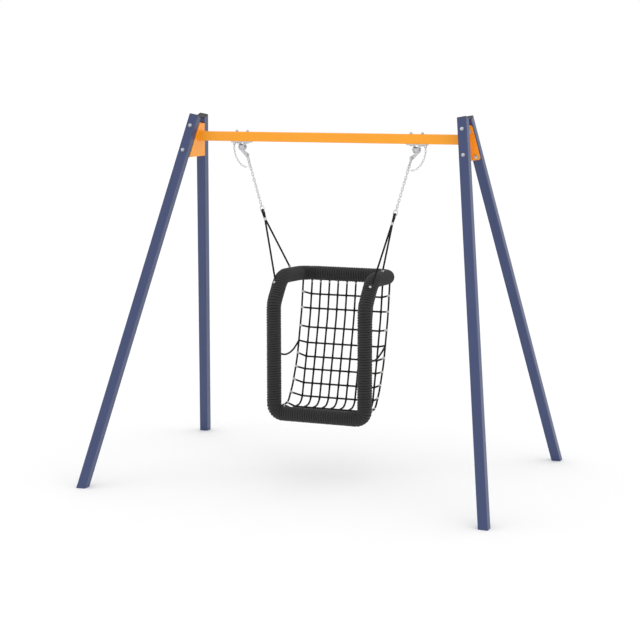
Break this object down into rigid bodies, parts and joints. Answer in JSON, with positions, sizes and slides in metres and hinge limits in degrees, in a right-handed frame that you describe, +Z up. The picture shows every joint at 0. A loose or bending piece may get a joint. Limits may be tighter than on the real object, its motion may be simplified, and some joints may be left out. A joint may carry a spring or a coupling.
{
  "type": "baby swing",
  "caption": "Playground swing with a rope-net bucket seat for a small child, hung by chains from bearing hangers on a square-tube A-frame.",
  "frame": {"origin": "on the ground, under the middle of the crossbeam and midway between the four feet", "axes": "+Z up, +X along the crossbeam to the seat's right as the seat is seen from in front, -Y to the front, which the seat's open side faces"},
  "size_m": [2.655, 1.8534, 2.3051],
  "materials": {
    "leg_paint": "satin blue enamel over galvanised steel",
    "beam_paint": "satin orange enamel",
    "cap_plastic": "moulded black plastic",
    "zinc": "zinc plated",
    "chain_steel": "hot-dip galvanised",
    "bush_nylon": "black nylon",
    "tube_steel": "galvanised, hidden under the wound rope",
    "wound_rope": "braided dark grey polyester",
    "net_rope": "laid black polyester over a steel core",
    "fitting": "plain cast and pressed aluminium",
    "thimble_nylon": "black nylon"
  },
  "bodies": {
    "root": {"front_left_leg": "leg_paint", "rear_left_leg": "leg_paint", "front_right_leg": "leg_paint", "rear_right_leg": "leg_paint", "leg_top_caps": "cap_plastic", "crossbeam": "beam_paint", "left_beam_bracket": "beam_paint", "right_beam_bracket": "beam_paint", "bracket_bolts": "zinc", "bracket_washers": "zinc", "bracket_nuts": "zinc", "left_hanger_plate": "zinc", "right_hanger_plate": "zinc", "hanger_bolts": "zinc", "hanger_washers": "zinc", "hanger_cap_nuts": "zinc", "left_pivot_axle": "zinc", "right_pivot_axle": "zinc", "pivot_lock_nuts": "zinc", "left_safety_chain": "chain_steel", "right_safety_chain": "chain_steel"},
    "left_hanger": {"left_pivot_bush": "bush_nylon", "left_swing_knuckle": "zinc", "left_shackle": "zinc", "left_shackle_pin": "zinc", "left_chain": "chain_steel", "left_joining_link": "chain_steel"},
    "right_hanger": {"right_pivot_bush": "bush_nylon", "right_swing_knuckle": "zinc", "right_shackle": "zinc", "right_shackle_pin": "zinc", "right_chain": "chain_steel", "right_joining_link": "chain_steel"},
    "seat": {"left_thimble": "thimble_nylon", "left_sling_rope": "net_rope", "left_side_rope": "net_rope", "right_thimble": "thimble_nylon", "right_sling_rope": "net_rope", "right_side_rope": "net_rope", "seat_frame_tube": "tube_steel", "bottom_bar_wrap": "wound_rope", "bottom_corner_wraps": "wound_rope", "left_leg_wrap": "wound_rope", "right_leg_wrap": "wound_rope", "shoulder_wraps": "wound_rope", "left_arm_wrap": "wound_rope", "right_arm_wrap": "wound_rope", "rear_corner_wraps": "wound_rope", "rear_bar_wrap": "wound_rope", "sling_ferrules": "fitting", "sling_entry_collars": "fitting", "net_connectors": "fitting", "net_top_ferrules": "fitting", "sling_bolts": "zinc", "sling_bolt_nuts": "zinc", "net_upright_ropes": "net_rope", "net_border_ropes": "net_rope", "net_cross_ropes": "net_rope"}
  },
  "joints": [
    {"name": "left_swing", "type": "hinge", "parent": "root", "child": "left_hanger", "pos_m": [-0.586, 0, 2.092], "axis": [1, 0, 0], "range_deg": [-60, 60], "deforming": ["left_safety_chain"]},
    {"name": "right_swing", "type": "hinge", "parent": "root", "child": "right_hanger", "pos_m": [0.586, 0, 2.092], "axis": [1, 0, 0], "range_deg": [-60, 60], "deforming": ["right_safety_chain"]},
    {"name": "seat_tilt", "type": "hinge", "parent": "left_hanger", "child": "seat", "pos_m": [-0.4445, 0, 1.681], "axis": [1, 0, 0], "range_deg": [-20, 20]}
  ],
  "couplings": [
    {"joint": "right_swing", "follows": "left_swing", "ratio": 1}
  ]
}
